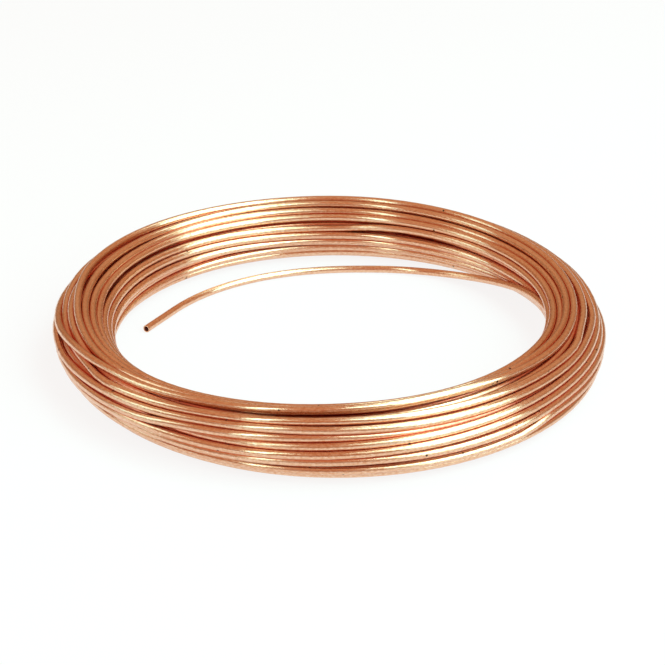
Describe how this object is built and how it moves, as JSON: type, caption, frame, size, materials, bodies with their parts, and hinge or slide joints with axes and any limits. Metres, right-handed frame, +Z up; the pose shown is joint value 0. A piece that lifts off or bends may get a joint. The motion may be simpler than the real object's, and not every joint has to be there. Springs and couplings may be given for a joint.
{
  "type": "copper tube coil",
  "caption": "Coil of soft copper tube lying flat: one tube wound into a thick ring, with its free inner end lying in the bore.",
  "frame": {"origin": "on the floor, on the axis of the ring", "axes": "+Z up along the ring's axis, +X to the side where the inner end leaves the ring"},
  "size_m": [0.436, 0.436, 0.054],
  "materials": {
    "copper": "bright drawn copper, lightly handled"
  },
  "bodies": {
    "root": {"copper_tube": "copper"}
  },
  "joints": []
}
